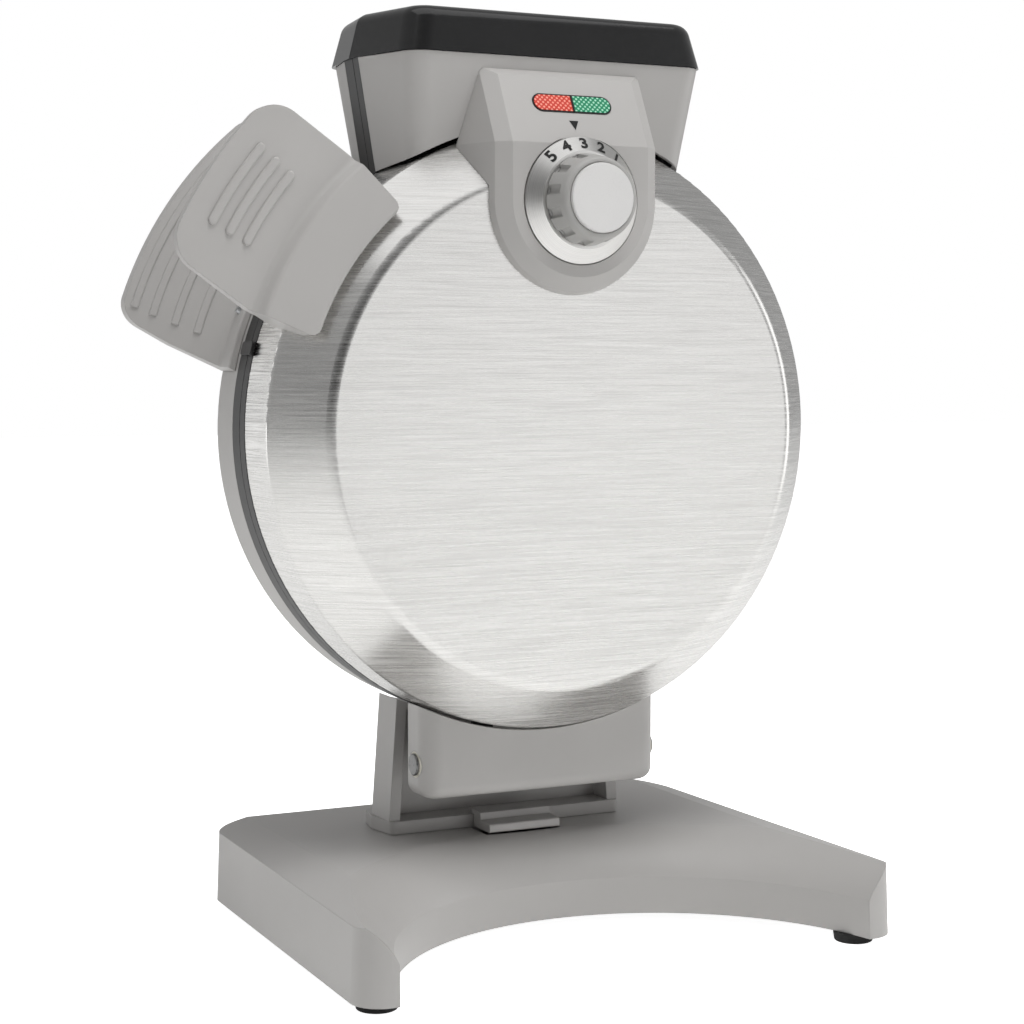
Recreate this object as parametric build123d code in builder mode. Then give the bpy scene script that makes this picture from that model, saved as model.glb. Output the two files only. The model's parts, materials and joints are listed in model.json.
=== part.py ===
from build123d import *
from math import atan2, cos, degrees, hypot, radians, sin
import os

# Upright round waffle maker: the rear half stands on a base, and the front half swings down on a
# hinge below the grids. Millimetres, +Z up, +X to the user's right, -Y towards the user. The origin
# is on the work surface, below the middle of the grids, level with the front of the rim band.

# Grids and casings
disc_z = 230.7  # height of the grids' centre
rim_r = 137.1  # outer radius of the black rims
band_r = 136.9  # outer radius of the cover's side band
cone_r = 135.7  # radius where the band meets the cone
plateau_r = 114.8  # radius of the flat front of the cover
plateau_y = -21.2  # the cover's flat front
band_y = 24.7  # rear edge of the cover's band
part_y = 31.2  # the plane where the two halves meet
part_gap = 0.4  # clearance between the closed halves
rim_back_y = 40.6  # rear edge of the rear rim
rear_y = 84.0  # flat back of the rear housing
sheet_t = 0.9  # stainless sheet
wall_t = 2.5  # moulded walls
grid_r = 112.5
cavity_r = 98.0  # radius of the waffle
cavity_depth = 12.5  # depth of each half of the waffle
stud_height = 10.0
stud_pitch = 22.0
element_r = 78.0  # middle of the heating loop
element_tube_r = 3.5

# Hinge
hinge_y, hinge_z = 17.0, 79.7
pin_r = 4.0
pin_play = 0.05
block_half = 60.0
block_front_y, block_back_y = 5.4, 24.8
block_bottom_z = 64.5
lug_x = 35.0
lug_t = 10.0

# Batter spout
spout_top_z = 396.0
spout_low_z = 330.0  # below the rim, trimmed off round the grids
cap_top_z = 416.2
throat_half = 25.0

# Controls
dial_z = 332.2
pod_knee_z = 356.6
pod_top_z = 390.0
pod_face_y = -29.4
pod_lean = 0.494  # how far the upper face leans back for each millimetre up
skirt_r, skirt_y = 27.6, -28.6
knob_r, knob_y = 20.1, -34.7
cap_disc_r, cap_disc_y = 15.1, -49.8

# Handle tabs, on a line from the grids' centre to the upper left
tab_angle = 145.2
tab_half = 40.0

# Base
deck_z = 41.5
lip_z = 21.7
shell_z = 4.6  # underside of the base's shell, above its feet
base_back_y, base_front_y = 115.0, -91.0
base_back_half, base_front_half = 125.0, 130.5
base_corner_r = 13.0
arch_r, arch_y = 116.0, -113.0
foot_r = 9.4

disc_axis = Axis((0, 0, disc_z), (0, 1, 0))
dial_axis = Axis((0, 0, dial_z), (0, 1, 0))
front_part_y = part_y - part_gap / 2
rear_part_y = part_y + part_gap / 2

os.makedirs("parts", exist_ok=True)


def save(piece, label):
    """Label a finished piece and write it as its node's STEP file."""
    piece.label = label
    export_step(piece, f"parts/{label}.step")


def front_plane(y):
    """Drawing plane across the object at depth y, seen from the front."""
    return Plane(origin=(0, y, 0), x_dir=(1, 0, 0), z_dir=(0, -1, 0))


def turned(points, axis, centre_z):
    """Solid turned about a Y axis at height centre_z, from (y, radius) corners."""
    with BuildPart(mode=Mode.PRIVATE) as body:
        with BuildSketch(Plane.YZ):
            with BuildLine():
                Polyline(*[(y, centre_z + r) for y, r in points], close=True)
            make_face()
        revolve(axis=axis)
    return body.part


def hopper(low, top):
    """Loft between two level outlines, each (height, [(x, y), ...])."""
    with BuildPart(mode=Mode.PRIVATE) as body:
        for height, corners in (low, top):
            with BuildSketch(Plane.XY.offset(height)):
                with BuildLine():
                    Polyline(*corners, close=True)
                make_face()
        loft()
    return body.part


def trapezium(back_half, back_y, front_half, front_y):
    """Corners of a level outline, symmetrical about the middle."""
    return [(-back_half, back_y), (-front_half, front_y), (front_half, front_y), (back_half, back_y)]


def cylinder_y(radius, y0, y1, x=0.0, z=disc_z):
    """Plain cylinder along Y between two depths."""
    with BuildPart(mode=Mode.PRIVATE) as body:
        with BuildSketch(front_plane(y0)):
            with Locations((x, z)):
                Circle(radius)
        extrude(amount=y0 - y1)
    return body.part


def cylinder_z(radius, z0, z1, places):
    """Plain upright cylinders at (x, y) places."""
    with BuildPart(mode=Mode.PRIVATE) as body:
        with BuildSketch(Plane.XY.offset(z0)):
            with Locations(*places):
                Circle(radius)
        extrude(amount=z1 - z0)
    return body.part


mid_plane = Plane(origin=(0, part_y, 0), x_dir=(1, 0, 0), z_dir=(0, 1, 0))


def rear_twin(piece):
    """The same piece in the rear half, reflected in the plane where the halves meet."""
    return mirror(piece, about=mid_plane)


# --- space taken by other pieces, to trim what fits round them ---
cover_form = turned(
    [(plateau_y, 0), (plateau_y, plateau_r), (0, cone_r), (band_y, band_r), (band_y, 0)],
    disc_axis, disc_z,
)
disc_form = cylinder_y(rim_r + 0.4, 120, -60)
throat_notch = 38.6  # half width of the notch that the hopper needs in the casings

outward = (cos(radians(tab_angle)), 0, sin(radians(tab_angle)))
front_screw_d, front_screw_lateral = 128.0, 18.0
front_screw_places = [
    (front_screw_d * outward[0] - side * front_screw_lateral * outward[2],
     front_screw_d * outward[2] + side * front_screw_lateral * outward[0])
    for side in (-1, 1)
]

rear_screw_y, rear_screw_lateral = 50.0, 30.0

# --- posts inside the casings that the rims are screwed to ---
post_r, post_angles = 125.0, (20, 70, 110, 200, 250, 290, 340)
post_places = [(post_r * cos(radians(a)), post_r * sin(radians(a))) for a in post_angles]

# --- front cover: one stainless sheet, spun to a cone with a flat front ---
with BuildPart() as front_cover:
    with BuildSketch(Plane.YZ):
        with BuildLine():
            FilletPolyline(
                (plateau_y, disc_z), (plateau_y, disc_z + plateau_r), (0, disc_z + cone_r),
                (band_y, disc_z + band_r), radius=(6, 2.5),
            )
            offset(amount=sheet_t, side=Side.RIGHT)
        make_face()
    revolve(axis=disc_axis)
    with BuildSketch(front_plane(plateau_y + 2)):
        with Locations((0, dial_z)):
            Circle(8)
    extrude(amount=4, mode=Mode.SUBTRACT)
    with Locations((0, band_y - 6, disc_z + band_r)):
        Box(2 * throat_notch, 13, 40, mode=Mode.SUBTRACT)
    for x, z in front_screw_places:
        add(cylinder_y(1.8, 10, -12, x, disc_z + z), mode=Mode.SUBTRACT)
save(front_cover.part, "front_cover")

# --- rear housing: moulded shell, the same form as the cover but deeper ---
with BuildPart() as rear_housing:
    with BuildSketch(Plane.YZ):
        with BuildLine():
            FilletPolyline(
                (rim_back_y + 0.2, disc_z + rim_r), (66, disc_z + 136.2), (rear_y, disc_z + 117),
                (rear_y, disc_z), radius=(8, 10),
            )
            offset(amount=wall_t, side=Side.RIGHT)
        make_face()
    revolve(axis=disc_axis)
    with Locations((0, rim_back_y + 4, disc_z + rim_r)):
        Box(2 * throat_notch, 12.5, 40, mode=Mode.SUBTRACT)
    for x, z in post_places:
        add(cylinder_y(4, 73, rim_back_y + 0.1, x, disc_z + z))
        add(cylinder_y(1.6, 55, rim_back_y, x, disc_z + z), mode=Mode.SUBTRACT)
    for side in (-1, 1):
        with BuildSketch(Plane(origin=(0, rear_screw_y, disc_z), x_dir=(0, 1, 0), z_dir=outward)):
            with Locations((0, side * rear_screw_lateral)):
                Circle(1.7)
        extrude(amount=150, mode=Mode.SUBTRACT)
save(rear_housing.part, "rear_housing")

# --- rims: black frames round the grids that run up both sides of the spout ---
rim_edges = {
    "front_rim": (front_part_y, front_part_y - band_y - 0.2),
    "rear_rim": (rim_back_y, rim_back_y - rear_part_y),
}
ear_x, ear_width = 22.0, 10.0
for label, (rim_start_y, rim_depth) in rim_edges.items():
    with BuildPart() as rim:
        with BuildSketch(front_plane(rim_start_y)):
            with Locations((0, disc_z)):
                Circle(rim_r)
            with BuildLine():
                Polyline((-72.2, spout_low_z), (-83, spout_top_z), (83, spout_top_z), (72.2, spout_low_z),
                         close=True)
            make_face()
            with Locations((0, disc_z)):
                Circle(grid_r + 0.5, mode=Mode.SUBTRACT)
            with BuildLine():
                Polyline((-27.3, spout_low_z), (-27.3, 343.4), (-51, spout_top_z), (51, spout_top_z),
                         (27.3, 343.4), (27.3, spout_low_z), close=True)
            make_face(mode=Mode.SUBTRACT)
        extrude(amount=rim_depth)
        with BuildSketch(front_plane(rim_start_y)):
            with Locations(*[(x, disc_z + z) for x, z in post_places]):
                Circle(1.7)
        extrude(amount=rim_depth, mode=Mode.SUBTRACT)
        head_y = front_part_y if label == "front_rim" else rear_part_y + 2.2
        with BuildSketch(front_plane(head_y)):
            with Locations(*[(x, disc_z + z) for x, z in post_places]):
                Circle(3.6)
        extrude(amount=2.2, mode=Mode.SUBTRACT)
        if label == "front_rim":
            with BuildSketch(front_plane(front_part_y - 3.6)):
                with Locations((-ear_x, 98), (ear_x, 98)):
                    Rectangle(ear_width, 40)
            extrude(amount=2.5)
    save(rim.part, label)

# --- grid plates: cast aluminium with studs that mould the waffle's pockets ---
half_steps = [(step + 0.5) * stud_pitch for step in range(-4, 4)]
stud_places = [(x, z) for x in half_steps for z in half_steps if hypot(x, z) < cavity_r - 13]
cavity_floor_y = front_part_y - cavity_depth
plate_back_y = cavity_floor_y - 5.0
with BuildPart() as front_grid_plate:
    with BuildSketch(front_plane(cavity_floor_y)):
        with Locations((0, disc_z)):
            Circle(grid_r)
    extrude(amount=cavity_floor_y - plate_back_y)
    with BuildSketch(Plane(origin=(0, cavity_floor_y, disc_z), x_dir=(1, 0, 0), z_dir=(0, 1, 0))):
        with Locations(*stud_places):
            Rectangle(14, 14)
    extrude(amount=stud_height, taper=8)
save(front_grid_plate.part, "front_grid_plate")
save(rear_twin(front_grid_plate.part), "rear_grid_plate")

# --- dams: the raised ring round each plate that holds the batter in, with the trough across it ---
with BuildPart() as front_batter_dam:
    with BuildSketch(front_plane(front_part_y)):
        with Locations((0, disc_z)):
            Circle(grid_r)
            Circle(cavity_r, mode=Mode.SUBTRACT)
    extrude(amount=cavity_depth)
    with BuildSketch(front_plane(front_part_y)):
        with Locations((0, disc_z + grid_r - 10)):
            Rectangle(2 * throat_half, 30)
    extrude(amount=9.0, mode=Mode.SUBTRACT)
save(front_batter_dam.part, "front_batter_dam")
save(rear_twin(front_batter_dam.part), "rear_batter_dam")

# --- heating loops: a steel tube bent to an open ring on the back of each plate ---
element_y = plate_back_y - element_tube_r
loop_arc = 320
loop_end = radians(loop_arc)
leg_places = [(0, -element_r), (-element_r * sin(loop_end), -element_r * cos(loop_end))]
with BuildPart() as front_heating_element:
    with BuildSketch(Plane.YZ):
        with Locations((element_y, disc_z - element_r)):
            Circle(element_tube_r)
    revolve(axis=disc_axis, revolution_arc=loop_arc)
    with BuildSketch(front_plane(element_y)):
        with Locations(*[(x, disc_z + z) for x, z in leg_places]):
            Circle(2.5)
    extrude(amount=14)
save(front_heating_element.part, "front_heating_element")
save(rear_twin(front_heating_element.part), "rear_heating_element")

# --- reflectors: thin steel pans that keep the heat on the plates ---
pan = turned(
    [(13, 111.8), (5, 104), (2, 100), (2, 0), (2.6, 0), (2.6, 99.7), (5.4, 103.3), (13, 110.9)],
    disc_axis, disc_z,
)
with BuildPart() as front_reflector:
    add(pan)
    with BuildSketch(front_plane(6)):
        with Locations(*[(x, disc_z + z) for x, z in leg_places]):
            Circle(4)
    extrude(amount=10, mode=Mode.SUBTRACT)
save(front_reflector.part, "front_reflector")
save(rear_twin(front_reflector.part), "rear_reflector")

# --- spout: grey outer shells, black hopper inside, black cap round its mouth ---
front_spout_low = trapezium(72.2, band_y, 64.2, 3.6)
front_spout_top = trapezium(83, band_y, 71.3, -10.5)
rear_spout_low = trapezium(72.2, rim_back_y + 0.2, 64, 70)
rear_spout_top = trapezium(83, rim_back_y + 0.2, 77, 70)


def inset(corners, wall):
    """The outline of a spout shell's inside: its open side stays, the others move in."""
    (half, y0), (near_half, y1) = corners[3], corners[2]
    inward = wall if y1 < y0 else -wall
    return trapezium(half - 1.1 * wall, y0 - inward, near_half - 1.2 * wall, y1 + inward)


spout_shells = {}
for label, low, top in (
    ("front_spout_shell", front_spout_low, front_spout_top),
    ("rear_spout_shell", rear_spout_low, rear_spout_top),
):
    outer = hopper((spout_low_z, low), (spout_top_z - 0.2, top))
    hollow = hopper((spout_low_z - 1, inset(low, wall_t)), (spout_top_z + 1, inset(top, wall_t)))
    opening_y = low[0][1]
    with BuildPart() as shell:
        add(outer)
        upright = [e for e in shell.edges() if abs(e.tangent_at(0.5).Z) > 0.9]
        fillet([e for e in upright if abs(e.center().Y - opening_y) > 12], 11)
        add(hollow, mode=Mode.SUBTRACT)
        with Locations((0, opening_y, 380)):
            Box(2 * 71 - 2, 6, 120, mode=Mode.SUBTRACT)
        add(disc_form, mode=Mode.SUBTRACT)
    spout_shells[label] = shell.part
    save(shell.part, label)

# --- hopper halves: the batter runs down them into the plates' trough ---
hopper_low_z, cap_low_z = 345.0, spout_top_z
throat_depth, rim_mouth_half, rim_mouth_depth = 9.2, 48.6, 23.7
mouth_half, mouth_depth = 58.0, 29.5
liner_t = 2.0


def mouth_outline(half, depth, grow, side):
    """Half of a level outline of the hopper; side is -1 for the front half and 1 for the rear."""
    open_y = part_y + side * part_gap / 2
    return trapezium(half + grow, open_y, half + grow, part_y + side * (depth + grow))


for label, side in (("front_spout_liner", -1), ("rear_spout_liner", 1)):
    wall = hopper(
        (hopper_low_z, mouth_outline(throat_half, throat_depth, liner_t, side)),
        (cap_low_z - 0.3, mouth_outline(rim_mouth_half, rim_mouth_depth, liner_t, side)),
    )
    batter_way = hopper(
        (hopper_low_z, mouth_outline(throat_half, throat_depth, 0, side)),
        (cap_low_z - 0.3, mouth_outline(rim_mouth_half, rim_mouth_depth, 0, side)),
    )
    with BuildPart() as liner:
        add(wall)
        add(batter_way, mode=Mode.SUBTRACT)
        with Locations((0, part_y, 370)):
            Box(2 * rim_mouth_half - 2, part_gap + 0.2, 100, mode=Mode.SUBTRACT)
    save(liner.part, label)

# --- cap halves: a hollow black collar round the mouth of the spout ---
cap_outlines = {
    "front_cap": (-1, trapezium(84.6, front_part_y, 72.6, -11.3), trapezium(79.5, front_part_y, 68, -7.2)),
    "rear_cap": (1, trapezium(84.6, rear_part_y, 79, 72.5), trapezium(79.5, rear_part_y, 74.5, 68.5)),
}
cap_wall = 3.0
for label, (side, low, top) in cap_outlines.items():
    outer = hopper((cap_low_z, low), (cap_top_z, top))
    pocket = hopper((cap_low_z, inset(low, cap_wall)), (cap_top_z - 4, inset(top, cap_wall)))
    collar = hopper(
        (cap_low_z, mouth_outline(rim_mouth_half, rim_mouth_depth, liner_t, side)),
        (cap_top_z - 2, mouth_outline(mouth_half, mouth_depth, liner_t, side)),
    )
    mouth = hopper(
        (cap_low_z - 0.1, mouth_outline(rim_mouth_half, rim_mouth_depth, 0, side)),
        (cap_top_z + 0.1, mouth_outline(mouth_half, mouth_depth, 0, side)),
    )
    with BuildPart() as cap:
        add(outer)
        upright = [e for e in cap.edges() if abs(e.tangent_at(0.5).Z) > 0.9]
        fillet([e for e in upright if abs(e.center().Y - part_y) > 12], 13)
        crown = cap.edges().group_by(Axis.Z)[-1]
        fillet([e for e in crown if abs(e.center().Y - part_y) > 0.5], 7)
        add(pocket, mode=Mode.SUBTRACT)
        add(collar)
        add(mouth, mode=Mode.SUBTRACT)
    save(cap.part, label)

# --- hinge block: hollow, open behind, closed round the pin's ends ---
block_wall = 3.0
with BuildPart() as hinge_block:
    with BuildSketch(Plane.XY.offset(block_bottom_z)):
        with Locations((0, (block_front_y + block_back_y) / 2)):
            Rectangle(2 * block_half, block_back_y - block_front_y)
    extrude(amount=45)
    front_corners = hinge_block.edges().filter_by(Axis.Z).group_by(Axis.Y)[0]
    fillet(front_corners, 9)
    fillet(hinge_block.edges().group_by(Axis.Z)[0].sort_by(Axis.Y)[:-1], 6)
    with BuildSketch(Plane.XY.offset(block_bottom_z + block_wall)):
        with Locations((0, (block_front_y + block_wall + block_back_y + 2) / 2)):
            Rectangle(2 * (block_half - block_wall - 1), block_back_y + 2 - block_front_y - block_wall)
    extrude(amount=60, mode=Mode.SUBTRACT)
    with BuildSketch(Plane.XY.offset(block_bottom_z - 1)):
        with Locations((-lug_x, 18.6), (lug_x, 18.6)):
            Rectangle(lug_t + 1.2, 18.2)
    extrude(amount=block_wall + 2, mode=Mode.SUBTRACT)
    with BuildSketch(Plane.YZ.offset(-block_half - 1)):
        with Locations((hinge_y, hinge_z)):
            Circle(6)
    extrude(amount=2 * block_half + 2, mode=Mode.SUBTRACT)
    add(disc_form, mode=Mode.SUBTRACT)
save(hinge_block.part, "hinge_block")

# --- hinge pin, held by the stand, and the bushes that turn on it ---
with BuildPart() as hinge_pin:
    with BuildSketch(Plane.YZ.offset(-block_half - 0.3)):
        with Locations((hinge_y, hinge_z)):
            Circle(pin_r)
    extrude(amount=2 * block_half + 0.6)
    for head_x in (-block_half - 1.3, block_half + 0.3):
        with BuildSketch(Plane.YZ.offset(head_x)):
            with Locations((hinge_y, hinge_z)):
                Circle(5.0)
        extrude(amount=1.0)
    fillet(hinge_pin.edges().group_by(Axis.X)[0] + hinge_pin.edges().group_by(Axis.X)[-1], 0.6)
save(hinge_pin.part, "hinge_pin")

with BuildPart() as hinge_bushes:
    for bush_x in (-block_half, block_half - block_wall - 1):
        with BuildSketch(Plane.YZ.offset(bush_x)):
            with Locations((hinge_y, hinge_z)):
                Circle(6)
                Circle(pin_r + pin_play, mode=Mode.SUBTRACT)
        extrude(amount=block_wall + 1)
save(hinge_bushes.part, "hinge_bushes")

# --- stand column: hollow, saddled under the rims, with lugs for the pin and a foot for the base ---
foot_top_z = 47.8
foot_corners = [(-60, 44), (60, 44), (63, 62), (60, 76), (44, 92), (-44, 92), (-60, 76), (-63, 62)]
column_low = [(-60.5, 46), (60.5, 46), (61, 66), (42, 88), (-42, 88), (-61, 66)]
column_top = [(-55, 46), (55, 46), (55.5, 66), (38, 82), (-38, 82), (-55.5, 66)]
hollow_low = [(-54, 62.5), (54, 62.5), (40, 85), (-40, 85)]
hollow_top = [(-49, 62.5), (49, 62.5), (36, 79), (-36, 79)]
recess_low = [(-55, 40), (55, 40), (55, 59.5), (-55, 59.5)]
recess_top = [(-50, 40), (50, 40), (50, 59.5), (-50, 59.5)]
column_form = hopper((foot_top_z, column_low), (125, column_top))
column_hollow = hopper((foot_top_z - 3, hollow_low), (125, hollow_top))
saddle_form = cylinder_y(rim_r + 3.4, 120, -60)
with BuildPart(mode=Mode.PRIVATE) as hollow_under_saddle:
    add(column_hollow)
    add(hopper((foot_top_z, recess_low), (125, recess_top)))
    add(saddle_form, mode=Mode.SUBTRACT)
with BuildPart() as stand_column:
    add(column_form)
    add(hollow_under_saddle.part, mode=Mode.SUBTRACT)
    with BuildSketch(Plane.XY.offset(deck_z + 0.2)):
        with BuildLine():
            Polyline(*foot_corners, close=True)
        make_face()
        fillet(vertices(), 3)
    extrude(amount=foot_top_z - deck_z - 0.2)
    with BuildSketch(Plane.XY.offset(deck_z - 9)):
        with Locations((-46, 69), (46, 69)):
            Rectangle(10, 30)
    extrude(amount=15)
    for lug_side in (-1, 1):
        with BuildSketch(Plane.YZ.offset(lug_side * lug_x - lug_t / 2)):
            with Locations((hinge_y, hinge_z)):
                Circle(7)
            with Locations(((hinge_y + 61) / 2, hinge_z)):
                Rectangle(61 - hinge_y, 14)
        extrude(amount=lug_t)
    with BuildSketch(Plane.YZ.offset(-lug_x - lug_t)):
        with Locations((hinge_y, hinge_z)):
            Circle(pin_r)
    extrude(amount=2 * lug_x + 2 * lug_t, mode=Mode.SUBTRACT)
    with BuildSketch(Plane.XZ.offset(-90)):
        with Locations((0, 64)):
            Circle(5)
    extrude(amount=12, mode=Mode.SUBTRACT)
    add(disc_form, mode=Mode.SUBTRACT)
save(stand_column.part, "stand_column")

# --- base: a low shell with an arch in front, where the opened front half comes down ---
side_lean = 1.5  # how far the walls lean in from bottom to deck
bevel_width, bevel_drop = 20.0, 5.0
base_corners = [
    (-base_back_half, base_back_y), (-base_front_half, base_front_y),
    (base_front_half, base_front_y), (base_back_half, base_back_y),
]
with BuildPart(mode=Mode.PRIVATE) as arch_form:
    with BuildSketch(Plane.YZ):
        with BuildLine():
            Line((arch_y, 0), (arch_y + arch_r, 0))
            Line((arch_y + arch_r, 0), (arch_y + arch_r, lip_z))
            ThreePointArc((arch_y + arch_r, lip_z), (arch_y + 127, 35.2), (arch_y + 142, deck_z))
            Line((arch_y + 142, deck_z), (arch_y + 142, 60))
            Line((arch_y + 142, 60), (arch_y, 60))
            Line((arch_y, 60), (arch_y, 0))
        make_face()
    revolve(axis=Axis((0, arch_y, 0), (0, 0, 1)))


def base_form(grow, low_z, top_z, corner_r):
    """The base's outline, grown or shrunk, as a solid between two heights."""
    with BuildPart(mode=Mode.PRIVATE) as body:
        with BuildSketch(Plane.XY.offset(low_z)):
            with BuildLine():
                Polyline(*base_corners, close=True)
            make_face()
            offset(amount=grow, kind=Kind.INTERSECTION)
            fillet(vertices(), corner_r)
        extrude(amount=top_z - low_z, taper=degrees(atan2(side_lean, deck_z)))
    return body.part


shell_outer = base_form(0, shell_z, deck_z, base_corner_r)
shell_inner = base_form(-wall_t, shell_z - 1, deck_z - wall_t, base_corner_r - wall_t)
arch_wall_form = cylinder_z(arch_r + wall_t, 0, 60, [(0, arch_y)])


def side_bevels(height):
    """Space above the sloping strips along both sides, which start at the given height."""
    inner_x, outer_x = base_front_half - 4 - bevel_width, base_front_half + 12
    with BuildPart(mode=Mode.PRIVATE) as body:
        for side in (-1, 1):
            with BuildSketch(Plane.XZ.offset(-200)):
                with BuildLine():
                    Polyline(
                        (side * inner_x, height), (side * outer_x, height - bevel_drop * 1.7),
                        (side * outer_x, height + 20), (side * inner_x, height + 20), close=True,
                    )
                make_face()
            extrude(amount=400)
    return body.part


with BuildPart(mode=Mode.PRIVATE) as shell_hollow:
    add(shell_inner)
    add(arch_wall_form, mode=Mode.SUBTRACT)
    add(side_bevels(deck_z - wall_t - 0.5), mode=Mode.SUBTRACT)
    with BuildSketch(Plane.XY.offset(lip_z - wall_t)):
        with Locations((0, arch_y)):
            Circle(147)
    extrude(amount=60, mode=Mode.SUBTRACT)
plate_t = 2.0
foot_places = [(-117, -74), (117, -74), (-108, 98), (108, 98)]
screw_places = [(-108, -45), (108, -45), (-98, 76), (98, 76)]
with BuildPart() as base_shell:
    add(shell_outer)
    add(side_bevels(deck_z + 0.01), mode=Mode.SUBTRACT)
    add(arch_form.part, mode=Mode.SUBTRACT)
    add(shell_hollow.part, mode=Mode.SUBTRACT)
    add(cylinder_z(4, shell_z + plate_t, 25, screw_places[:2]))
    add(cylinder_z(4, shell_z + plate_t, deck_z - 1, screw_places[2:]))
    add(cylinder_z(1.6, shell_z, shell_z + 15, screw_places), mode=Mode.SUBTRACT)
    with BuildSketch(Plane.XY.offset(deck_z - 9.5)):
        with Locations((-46, 69), (46, 69)):
            Rectangle(11, 31)
    extrude(amount=20, mode=Mode.SUBTRACT)
    with BuildSketch(Plane.XY.offset(33)):
        with Locations((0, 36)):
            Rectangle(39, 18)
    extrude(amount=20, mode=Mode.SUBTRACT)
save(base_shell.part, "base_shell")

# --- base plate, screwed up into the shell, with the feet under it ---
plate_form = base_form(-wall_t - 0.3, shell_z, shell_z + plate_t, base_corner_r - wall_t - 0.3)
with BuildPart() as base_plate:
    add(plate_form)
    add(cylinder_z(1.7, 0, 60, screw_places), mode=Mode.SUBTRACT)
    add(cylinder_z(arch_r + wall_t + 0.3, 0, 60, [(0, arch_y)]), mode=Mode.SUBTRACT)
save(base_plate.part, "base_plate")

with BuildPart() as rubber_feet:
    with BuildSketch():
        with Locations(*foot_places):
            Circle(foot_r - 0.8)
    extrude(amount=shell_z, taper=-9)
    fillet(rubber_feet.edges().group_by(Axis.Z)[0], 0.8)
save(rubber_feet.part, "rubber_feet")

with BuildPart() as base_screws:
    add(cylinder_z(3.4, shell_z - 1.6, shell_z, screw_places))
    add(cylinder_z(1.6, shell_z - 0.8, shell_z + 14, screw_places))
save(base_screws.part, "base_screws")

# --- base clip: a sprung tab in front of the foot; its lip holds the foot in the base ---
clip_half = 18.3
with BuildPart() as base_clip:
    with BuildSketch(Plane.YZ.offset(-clip_half)):
        with BuildLine():
            Polyline(
                (25.6, 42.2), (25.6, 46.2), (35.6, 46.6), (36.2, 49.8), (46.1, 50.4), (46.1, 48.4),
                (43.1, 48.1), (43.1, 42.2), close=True,
            )
        make_face()
    extrude(amount=2 * clip_half)
    fillet(base_clip.edges().filter_by(Axis.X).sort_by(Axis.Y)[0:2], 0.9)
save(base_clip.part, "base_clip")

# --- control pod: a moulded housing on the cover, half round below and leaning back above ---
pod_side, pod_side_y = 39.8, -24.7  # where the steep side meets the bevel round the face
pod_face_half = 33.4
pod_root = pod_side + 0.35 * -pod_side_y  # half width at the band's front edge
lean_height = pod_top_z - pod_knee_z


def pod_form(wall):
    """The pod's outline, shrunk by the wall: a drafted half round with a sheared upper part."""
    with BuildPart(mode=Mode.PRIVATE) as lower:
        for half, start_y, end_y, next_half in (
            (pod_root - 1.2 * wall, 0, pod_side_y + wall, pod_side - 0.6 * wall),
            (pod_side - 0.6 * wall, pod_side_y + wall, pod_face_y + wall, pod_face_half - 0.6 * wall),
        ):
            with BuildSketch(front_plane(start_y)):
                with Locations((0, dial_z)):
                    Circle(half)
                with Locations((0, dial_z + 60)):
                    Rectangle(2 * half, 120)
            draft = degrees(atan2(half - next_half, start_y - end_y))
            extrude(amount=start_y - end_y, taper=draft)
        split(bisect_by=Plane.XY.offset(pod_knee_z), keep=Keep.BOTTOM)
    with BuildPart(mode=Mode.PRIVATE) as upper:
        with BuildSketch(Plane.XY.offset(pod_knee_z)):
            with BuildLine():
                Polyline(
                    (-pod_root + 1.2 * wall, 0), (-pod_side + 0.6 * wall, pod_side_y + wall),
                    (-pod_face_half + 0.6 * wall, pod_face_y + wall),
                    (pod_face_half - 0.6 * wall, pod_face_y + wall),
                    (pod_side - 0.6 * wall, pod_side_y + wall), (pod_root - 1.2 * wall, 0), close=True,
                )
            make_face()
        reach = (lean_height - wall) * hypot(1, pod_lean)
        extrude(amount=reach, dir=(0, pod_lean, 1))
    with BuildPart(mode=Mode.PRIVATE) as whole:
        add(lower.part)
        add(upper.part)
    return whole.part


lamp_plane = Plane(
    origin=(0, pod_face_y, pod_knee_z), x_dir=(1, 0, 0), z_dir=(0, -1, pod_lean)
)
lamp_centre = 20.4  # up the leaning face from the knee
lamp_half, lamp_half_height = 19.0, 4.0
skirt_floor_y = -27.2
front_spout_form = hopper((spout_low_z, front_spout_low), (spout_top_z, front_spout_top))
with BuildPart() as control_pod:
    add(pod_form(0))
    top_edges = control_pod.edges().group_by(Axis.Z)[-1].sort_by(Axis.Y)[0]
    chamfer(top_edges, 3.5)
    add(pod_form(wall_t), mode=Mode.SUBTRACT)
    add(cover_form, mode=Mode.SUBTRACT)
    add(front_spout_form, mode=Mode.SUBTRACT)
    add(spout_shells["front_spout_shell"], mode=Mode.SUBTRACT)
    add(cylinder_y(skirt_r + 0.5, -26.9 - 1.3, -40, 0, dial_z), mode=Mode.SUBTRACT)
    add(cylinder_y(4.2, 0, -40, 0, dial_z), mode=Mode.SUBTRACT)
    with BuildSketch(lamp_plane.offset(-6)):
        with Locations((0, lamp_centre)):
            SlotOverall(2 * lamp_half, 2 * lamp_half_height)
    extrude(amount=12, mode=Mode.SUBTRACT)
save(control_pod.part, "control_pod")

# --- lamp lenses side by side in the slot of the pod, and the board with the lamps behind them ---
for label, side in (("red_lens", -1), ("green_lens", 1)):
    with BuildPart() as lens:
        with BuildSketch(lamp_plane.offset(-wall_t)):
            with Locations((0, lamp_centre)):
                SlotOverall(2 * lamp_half - 0.4, 2 * lamp_half_height - 0.4)
            with Locations((-side * (lamp_half - 0.3), lamp_centre)):
                Rectangle(2 * lamp_half, 12, mode=Mode.SUBTRACT)
        extrude(amount=wall_t + 0.5)
    save(lens.part, label)

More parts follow.
